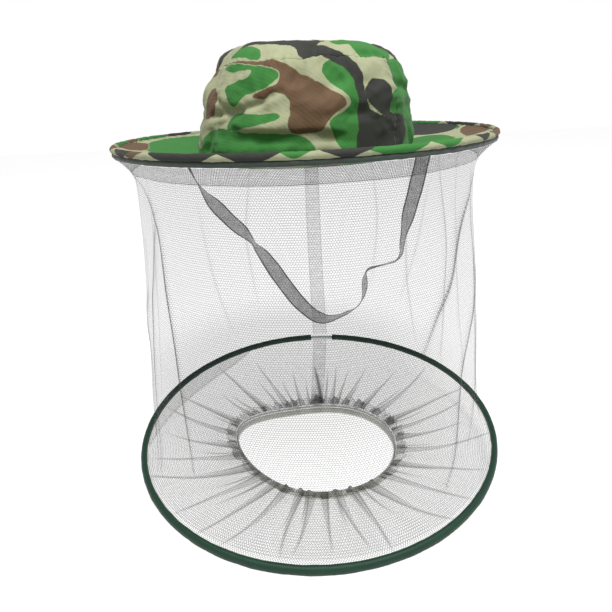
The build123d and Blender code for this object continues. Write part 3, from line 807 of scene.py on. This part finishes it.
# Long folds of the veil: points of (degrees from the front, height), how deep, how wide, and how much the net gathers.
VEIL_FOLDS = [
    ([(-60, -5), (-50.5, -34), (-46.7, -85), (-43.7, -144), (-41.5, -197), (-39, -240)], 2.6, 1.6, 0.56),
    ([(-50.5, -30), (-54.5, -78), (-62, -147), (-63, -203), (-58, -265)], 2.4, 2.6, 0.46),
    ([(-64, -60), (-70, -140), (-72, -200), (-66, -240), (-60, -270)], 2.0, 2.8, 0.32),
    ([(-30, -20), (-27, -70), (-22, -110)], 1.4, 1.8, 0.08),
    ([(-72, 0), (-70, -120), (-66, -240)], 1.8, 2.2, 0.22),
    ([(-90, 0), (-92, -100), (-88, -268)], 1.6, 2.4, 0.12),
    ([(-104, -5), (-100, -140), (-106, -262)], 2.4, 2.4, 0.22),
    ([(-118, 0), (-124, -120), (-120, -255)], 2.6, 2.4, 0.14),
    ([(65, -6), (58, -26), (50, -48), (44, -86), (36.5, -113), (31, -140)], 2.6, 3.4, 0.46),
    ([(72, -30), (70, -80), (56, -144), (48, -176), (42.7, -233), (37, -259)], 2.6, 2.4, 0.48),
    ([(74, -90), (66, -159), (62, -204), (52, -245)], 2.2, 2.6, 0.38),
    ([(34, -8), (30, -50), (24, -90)], 1.6, 1.8, 0.10),
    ([(82, 0), (80, -130), (74, -268)], 1.8, 2.2, 0.22),
    ([(98, 0), (100, -140), (94, -262)], 1.8, 2.4, 0.14),
    ([(112, -4), (108, -120), (114, -265)], 2.8, 2.4, 0.2),
    ([(126, 0), (132, -140), (128, -255)], 2.6, 2.4, 0.14),
    ([(150, 0), (146, -90), (150, -190)], 2.2, 2.6, 0.1),
    ([(204, 0), (210, -110), (206, -210)], 2.2, 2.6, 0.1),
]


def veil_radius(height):
    heights, radii = zip(*reversed(VEIL_SHAPE))
    line = smooth_line(list(zip(heights, radii)), steps=8)
    return np.interp(height, line[:, 0], line[:, 1])


def veil_place(turn, height, inset=0.0):
    """Where the veil's net hangs at each angle and height, and how much it is gathered there."""
    base = veil_radius(height)
    near = (((turn + 100) % 360) - 100)
    across = near * 2.78
    out, gather = np.zeros(turn.shape), np.zeros(turn.shape)
    free = np.clip((VEIL_TOP - height) / 14, 0, 1) * np.clip((height - VEIL_FOOT) / 10, 0, 1)
    for points, deep, wide, dark in VEIL_FOLDS:
        line = smooth_line([(a * 2.78, z) for a, z in points], steps=5)
        gap, share = line_distance(across, height, line)
        fade = np.sin(np.pi * np.clip(share, 0.06, 0.94)) ** 0.6
        out += deep * fade * np.exp(-(gap / (2.0 * wide)) ** 2)
        gather = np.maximum(gather, 1.7 * dark * fade * np.exp(-(gap / (0.35 + 0.3 * wide)) ** 2))
        gather = np.maximum(gather, 0.3 * dark * fade * np.exp(-(gap / (1.6 * wide)) ** 2))
    ring = np.column_stack([np.sin(np.radians(turn)) * 160, -np.cos(np.radians(turn)) * 160, height * 0.35])
    out += (2.2 * grain(ring, 46.0, 71) + 0.7 * grain(ring, 17.0, 73)) * free
    top = np.exp(-(VEIL_TOP - height) / 16.0)
    out += 0.8 * top * np.sin(np.radians(turn) * 58 + 2 * np.sin(np.radians(turn) * 7)) * np.clip((VEIL_TOP - height) / 4, 0, 1)
    gather = gather + 0.03 * top
    radius = base + out * free - inset
    middle_y = HOOP_Y * np.clip((-20 - height) / (-20 - HOOP_Z), 0, 1)
    a = np.radians(turn)
    place = np.column_stack([radius * np.sin(a), middle_y - radius * np.cos(a), height])
    return place, gather


def veil_net():
    heights = [VEIL_TOP - 0.4, *np.linspace(VEIL_TOP - 5, VEIL_FOOT + 6, 100), VEIL_FOOT + 0.6]
    bm = turned([(float(veil_radius(z)), z) for z in heights], BACK_TURN - 360, BACK_TURN, 860)
    turn, height = layer(bm, "turn"), places(bm)[:, 2]
    place, gather = veil_place(turn, height)
    move_to(bm, place)
    keep_layer(bm, "gather", gather)
    keep_layer(bm, "cloth_across", (turn - BACK_TURN + 360) * 2.8)
    weave_from(bm, "cloth_across", "along")
    face_away(bm, (0, HOOP_Y, -140))
    veil = finished("veil_net_cloth", bm, NET, "hat", ["veil_net"])
    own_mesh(veil)
    return veil


def veil_top_hem():
    """The veil's top edge, folded down inside itself under the rim."""
    heights = np.linspace(VEIL_TOP - 0.6, -4, 12)
    bm = turned([(float(veil_radius(z)), z) for z in heights], BACK_TURN - 360, BACK_TURN, 720)
    turn, height = layer(bm, "turn"), places(bm)[:, 2]
    place, gather = veil_place(turn, height, inset=0.7)
    move_to(bm, place)
    edge = np.exp(-((height + 4) / 1.2) ** 2)
    puckers = 0.5 + 0.5 * grain(place, 5.0, 83)
    keep_layer(bm, "gather", gather + 0.22 * edge + 0.12 * np.clip(puckers, 0, 1))
    keep_layer(bm, "cloth_across", (turn - BACK_TURN + 360) * 2.8)
    weave_from(bm, "cloth_across", "along")
    face_away(bm, (0, 0, 4))
    return finished("veil_hem_net", bm, DOUBLED_NET, "hat", ["veil_top_hem"])


def veil_back_seam():
    """A doubled strip of net covers the veil's seam inside the back."""
    low_z, high_z = back_seam_low[2], 6.0
    bm = bmesh.new()
    bmesh.ops.create_grid(bm, x_segments=14, y_segments=120, size=0.5)
    flat = places(bm)
    height = low_z + (flat[:, 1] + 0.5) * (high_z - low_z)
    across = flat[:, 0] * BACK_SEAM_WIDE
    turn = BACK_TURN + across / 2.72
    place, gather = veil_place(turn, height, inset=1.0)
    place[:, 0] += 3.0 * np.sin((height - high_z) / 75) * 0.4
    move_to(bm, place)
    edge = np.exp(-((np.abs(across) - BACK_SEAM_WIDE / 2) / 0.9) ** 2)
    keep_layer(bm, "gather", gather + 0.22 * edge)
    keep_layer(bm, "a", across)
    keep_layer(bm, "b", height)
    weave_from(bm, "a", "b")
    face_away(bm, (0, -400, -140))
    strip = finished("veil_seam_net", bm, DOUBLED_NET, "hat", ["veil_seam_strip"])
    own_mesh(strip)
    return strip


# ---------------------------------------------------------------- floor net and neck
FLOOR_OUT_R, FLOOR_TOP, FLOOR_FOOT = floor_high[0], HOOP_Z - 0.6, floor_low[2] + 0.6
# Pleats of the floor net round the neck: degrees from the right, anticlockwise; reach from the neck's middle; width.
PLEATS = [(0, 138, 8), (9, 150, 7), (20, 165, 9), (33, 158, 8), (47, 130, 8), (62, 120, 9), (76, 118, 7), (104, 112, 6),
          (118, 140, 8), (134, 172, 8), (146, 120, 6), (156, 168, 9), (168, 172, 9), (180, 140, 10), (192, 150, 10),
          (206, 166, 10), (219, 150, 10), (232, 152, 9), (243, 148, 9), (254, 138, 8), (263, 134, 8), (272, 130, 8),
          (282, 134, 9), (292, 146, 10), (306, 154, 11), (320, 152, 10), (334, 150, 10), (347, 162, 9)]


chance = random.Random(5)
SHORT_PLEATS = [(12 * k + chance.uniform(-4, 4), chance.uniform(92, 112), chance.uniform(3, 5.5)) for k in range(30)]


def neck_ring(a, reach):
    """A ring round the neck, so far outside the opening's edge; the elastic pulls its left side narrower."""
    egg = 1 + 0.11 * np.sin(a)
    pulled_back = 24.0 * np.clip(-np.sin(a), 0, 1) ** 2
    return (NECK_WIDE + reach) * np.sin(a) - 4.5, NECK_Y - (NECK_DEEP + reach) * np.cos(a) * egg + pulled_back


def floor_place(turn, share, lift=0.0):
    """Where the floor net lies: share runs from 0 at the hoop to 1 at the neck. Pleats rise towards the neck."""
    a = np.radians(turn)
    outer = np.column_stack([FLOOR_OUT_R * np.sin(a), HOOP_Y - FLOOR_OUT_R * np.cos(a), np.full(a.shape, FLOOR_TOP)])
    inner = np.column_stack([*neck_ring(a, 0.0), np.full(a.shape, FLOOR_FOOT)])
    place = outer + (inner - outer) * share[:, None]
    bearing = np.degrees(np.arctan2(place[:, 1] - NECK_Y, place[:, 0])) % 360
    reach = np.hypot(place[:, 0], place[:, 1] - NECK_Y)
    neck_reach = np.hypot(inner[:, 0], inner[:, 1] - NECK_Y)
    up, gather = np.zeros(a.shape), np.zeros(a.shape)
    for i, (angle, tip, wide) in enumerate(PLEATS + SHORT_PLEATS):
        bend = 1.5 * math.sin(i * 2.4) * ((reach - neck_reach) / 60) ** 2
        side = np.radians((bearing - angle - bend + 180) % 360 - 180) * reach
        left = np.clip((tip - reach) / np.maximum(tip - neck_reach, 5), 0, 1)
        half, fine = 0.42 * wide * left ** 1.35 + 0.2, 0.72 + 0.003 * (reach - 70)
        folded = 1 if i % 2 else -1
        inside = np.clip((half - np.abs(side)) / 0.8 + 0.5, 0, 1) * (left > 0)
        shade = (0.08 + 0.36 * left ** 1.2) * (0.75 + 0.35 * folded * side / half)
        edges = 0.74 * np.exp(-((side - folded * half) / fine) ** 2) + 0.36 * np.exp(-((side + folded * half) / fine) ** 2)
        tail = np.exp(-(side / fine) ** 2) * np.clip((tip + 24 - reach) / 24, 0, 1) * (left <= 0)
        gather = np.maximum(gather, np.maximum(inside * shade, edges * (0.35 + 0.65 * left) * (left > 0)))
        gather = np.maximum(gather, 0.40 * tail)
        up += 3.2 * left ** 1.2 * np.exp(-(side / (half + 0.8)) ** 2)
    # At the back left the net folds over on itself beside the hoop.
    slack = np.clip((turn + 150) / 72, 0, 1)
    slack_wide = 17.0 * np.sin(np.pi * slack ** 0.8) ** 0.8
    from_hoop = share * (FLOOR_OUT_R - NECK_WIDE)
    fold_edge = 0.22 * np.exp(-((from_hoop - slack_wide) / 0.9) ** 2) * (slack > 0) * (slack < 1)
    gather = np.maximum(gather, 0.15 * (from_hoop < slack_wide) + fold_edge)
    ring = np.column_stack([place[:, 0], place[:, 1], np.zeros(a.shape)])
    near_neck = np.exp(-(reach - neck_reach) / 9.0)
    mottle = 0.5 + 0.5 * grain(ring, 5.0, 93)
    gather = gather + near_neck * (0.05 + 0.3 * np.clip(mottle * 1.6 - 0.7, 0, 1))
    middle = np.sin(np.pi * np.clip(share, 0, 1))
    place[:, 2] += up * np.clip((1 - share) / 0.03, 0.2, 1) + middle * (-3.0 + 1.6 * grain(ring, 40.0, 91)) + lift
    return place, np.clip(gather, 0, 0.75)


def floor_net():
    shares = 1 - (1 - np.linspace(0, 1, 64)) ** 1.15
    bm = turned([(FLOOR_OUT_R - (FLOOR_OUT_R - 80) * s, FLOOR_TOP + (FLOOR_FOOT - FLOOR_TOP) * s) for s in shares],
                BACK_TURN - 360, BACK_TURN, 900)
    turn = layer(bm, "turn")
    share = (layer(bm, "along") / layer(bm, "along").max())
    place, gather = floor_place(turn, share)
    move_to(bm, place)
    keep_layer(bm, "gather", gather)
    keep_layer(bm, "cloth_across", (turn - BACK_TURN + 360) * 3.0)
    weave_from(bm, "cloth_across", "along")
    face_away(bm, (0, 0, 4000))
    net = finished("floor_net_cloth", bm, FLOOR_NET, "lower_hoop", ["floor_net"])
    settle(net)
    return net


def settle(piece):
    """Gives the piece its own copy of its mesh."""
    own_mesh(piece)


def floor_seam():
    """The doubled seam of the floor net at the back, with one edge folded over and dark."""
    bm = bmesh.new()
    bmesh.ops.create_grid(bm, x_segments=16, y_segments=90, size=0.5)
    flat = places(bm)
    share = np.clip(flat[:, 1] + 0.5, 0.02, 0.995)
    across = flat[:, 0] * BACK_SEAM_WIDE
    turn = BACK_TURN + across / (3.05 - 1.2 * share)
    place, gather = floor_place(turn, share, lift=0.9)
    move_to(bm, place)
    lower = np.clip((share - 0.4) / 0.6, 0, 1)
    folded_at = 7.0 - 15.0 * lower
    fold = np.exp(-((across - folded_at) / (1.2 + 1.8 * lower)) ** 2) * np.clip(lower * 4, 0, 1)
    wedge = np.clip(lower * 2.5 - 1.5, 0, 1) * (across > folded_at)
    edge = np.exp(-((np.abs(across) - BACK_SEAM_WIDE / 2) / 0.9) ** 2)
    keep_layer(bm, "gather", np.clip(gather * 0.6 + 0.2 * edge * (1 - lower) + 0.68 * fold + 0.36 * wedge + 0.3 * lower ** 6, 0, 0.85))
    keep_layer(bm, "a", across)
    keep_layer(bm, "b", share * 95)
    weave_from(bm, "a", "b")
    face_away(bm, (0, 0, 4000))
    strip = finished("floor_seam_net", bm, DOUBLED_NET, "lower_hoop", ["floor_seam_strip"])
    settle(strip)
    return strip


def neck_hem():
    """Net folded over the elastic and gathered by it: an upright ruffled band with a crumpled frill lying outwards."""
    profile = [(-2.6, NECK_FOOT + 0.4), (-3.6, NECK_FOOT + 4), (-3.4, NECK_TOP - 2), (-1.5, NECK_TOP), (3.0, NECK_TOP + 2.2),
               (9.5, NECK_TOP + 4.2)]
    profile = [tuple(p) for p in smooth_line(profile, steps=4)]
    bm = turned(profile, 0, 360, 1000, merge=True)
    turn, along = layer(bm, "turn"), layer(bm, "along")
    line = np.array(profile)
    run = np.array([0.0, *np.cumsum(np.hypot(*np.diff(line, axis=0).T))])
    out, height = np.interp(along, run, line[:, 0]), np.interp(along, run, line[:, 1])
    a = np.radians(turn)
    ring = np.column_stack([np.sin(a) * 80, -np.cos(a) * 80, np.zeros(a.shape)])
    bunch = grain(ring, 16.0, 96)
    frill = np.sin(a * 62 + 7 * grain(ring, 30.0, 95)) * np.clip(0.7 + 0.9 * bunch, 0.1, 1.4)
    loose = np.clip((out + 2.5) / 6, 0, 1.3)
    reach = out + loose * (3.2 * grain(ring, 11.0, 97) + 1.3 * frill)
    x, y = neck_ring(a + np.radians(0.9) * frill * loose, reach)
    move_to(bm, np.column_stack([x, y, height + 1.5 * frill * loose]))
    edge = 1.2 * np.exp(-((along - run[-1]) / 0.6) ** 2) + 2.0 * np.exp(-((height - NECK_TOP) / 0.7) ** 2)
    mottle = np.clip(1.8 * grain(ring, 8.0, 98) + 0.1, 0, 1)
    keep_layer(bm, "gather", np.clip(0.3 * edge + (0.5 * mottle + 0.3 * np.clip(-frill, 0, 1)) * np.clip(loose, 0.12, 1), 0, 0.8))
    keep_layer(bm, "cloth_across", turn * 2.2)
    weave_from(bm, "cloth_across", "along")
    face_away(bm, (0, NECK_Y, -310))
    return finished("neck_hem_net", bm, HEM_NET, "neck_band", ["neck_hem"])


def neck_elastic():
    """Braided elastic inside the hem."""
    middle, half = (elastic_low[2] + elastic_high[2]) / 2, (elastic_high[2] - elastic_low[2]) / 2
    bm = turned(ring_section(85, middle, 0.6, half, 12), 0, 360, 720, merge=True, loop=True)
    turn, place = layer(bm, "turn"), places(bm)
    a = np.radians(turn)
    x, y = neck_ring(a, np.hypot(place[:, 0], place[:, 1]) - 85 - 2.0)
    move_to(bm, np.column_stack([x, y, place[:, 2]]))
    bmesh.ops.recalc_face_normals(bm, faces=bm.faces)
    finished("neck_elastic_braid", bm, ELASTIC, "neck_band", ["neck_elastic"])


# ---------------------------------------------------------------- hoop
def hoop_tape():
    """Tape folded round the hoop's wire, open at the back where the joiner shows."""
    gap_half = 9.6
    start, stop = 176 + gap_half / 2, 176 + 360 - gap_half / 2
    bm = turned(ring_section(HOOP_R, HOOP_Z, HOOP_HALF_WIDE, HOOP_HALF_TALL, 18), start, stop, 900, loop=True)
    bmesh.ops.holes_fill(bm, edges=[edge for edge in bm.edges if edge.is_boundary], sides=0)
    bmesh.ops.recalc_face_normals(bm, faces=bm.faces)
    turn, along = layer(bm, "turn"), layer(bm, "along")
    place = places(bm)
    push_out(bm, 0.3 * grain(place, 12.0, 101) + 0.14 * grain(place, 3.0, 102) - 0.25 * np.exp(-((along - 15.5) / 0.9) ** 2))
    bmesh.ops.translate(bm, vec=(0, HOOP_Y, 0), verts=bm.verts)
    keep_layer(bm, "cloth_across", turn * math.radians(1) * HOOP_R)
    weave_from(bm, "cloth_across", "along")
    finished("hoop_tape", bm, GREEN_TAPE, "lower_hoop", ["hoop_binding"])


def strap_patch(node, side):
    """A square patch sewn with a cross holds each end of the strap under the brim."""
    low, high = corners(node)
    bm = bmesh.new()
    bmesh.ops.create_grid(bm, x_segments=14, y_segments=14, size=0.5)
    flat = places(bm)
    x, y = (low[0] + high[0]) / 2 + flat[:, 0] * 13.6, flat[:, 1] * 13.6
    slope = BRIM_Z / (CASING_R - CROWN_R)
    cross = np.exp(-((np.abs(flat[:, 0]) - np.abs(flat[:, 1])) / 0.05) ** 2)
    z = (low[2] + 0.4) + (np.hypot(x, y) - abs(low[0] if side > 0 else high[0])) * slope - 0.2 - 0.25 * grain(flat * 14, 4.0, 111) + 0.3 * cross
    move_to(bm, np.column_stack([x, y, z]))
    face_away(bm, (0, 0, 4000))
    finished(node + "_patch", bm, PATCH, "hat", [node], wall=0.6)


# ---------------------------------------------------------------- build
set_camera()
set_studio()
chin_strap()

for node, name, start, stop, seed in (("crown_front_panel", "crown_front_cloth", -48, 48, 1), ("crown_left_panel", "crown_left_cloth", 48, 132, 2),
                                      ("crown_back_panel", "crown_back_cloth", 132, 228, 3), ("crown_right_panel", "crown_right_cloth", 228, 312, 4)):
    crown_panel(node, name, start, stop, seed)
crown_top()
brim_ply("brim_top_cloth", "brim_upper_ply", 0.0, 6, 1)
brim_ply("brim_underside_cloth", "brim_lower_ply", 1.0, 7, -1)
rim_casing()
rim_binding()
rim_stitches()
sweatband()

veil = veil_net()
hem = veil_top_hem()
back_seam = veil_back_seam()
floor = floor_net()
floor_strip = floor_seam()
neck_hem()
neck_elastic()
hoop_tape()
strap_patch("strap_tack_left", 1)
strap_patch("strap_tack_right", -1)

for node, material in (("rim_wire", STEEL), ("rim_wire_ferrule", STEEL), ("hoop_wire", STEEL), ("hoop_joiner", PVC)):
    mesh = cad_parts[node].data
    mesh.materials.clear()
    mesh.materials.append(material)
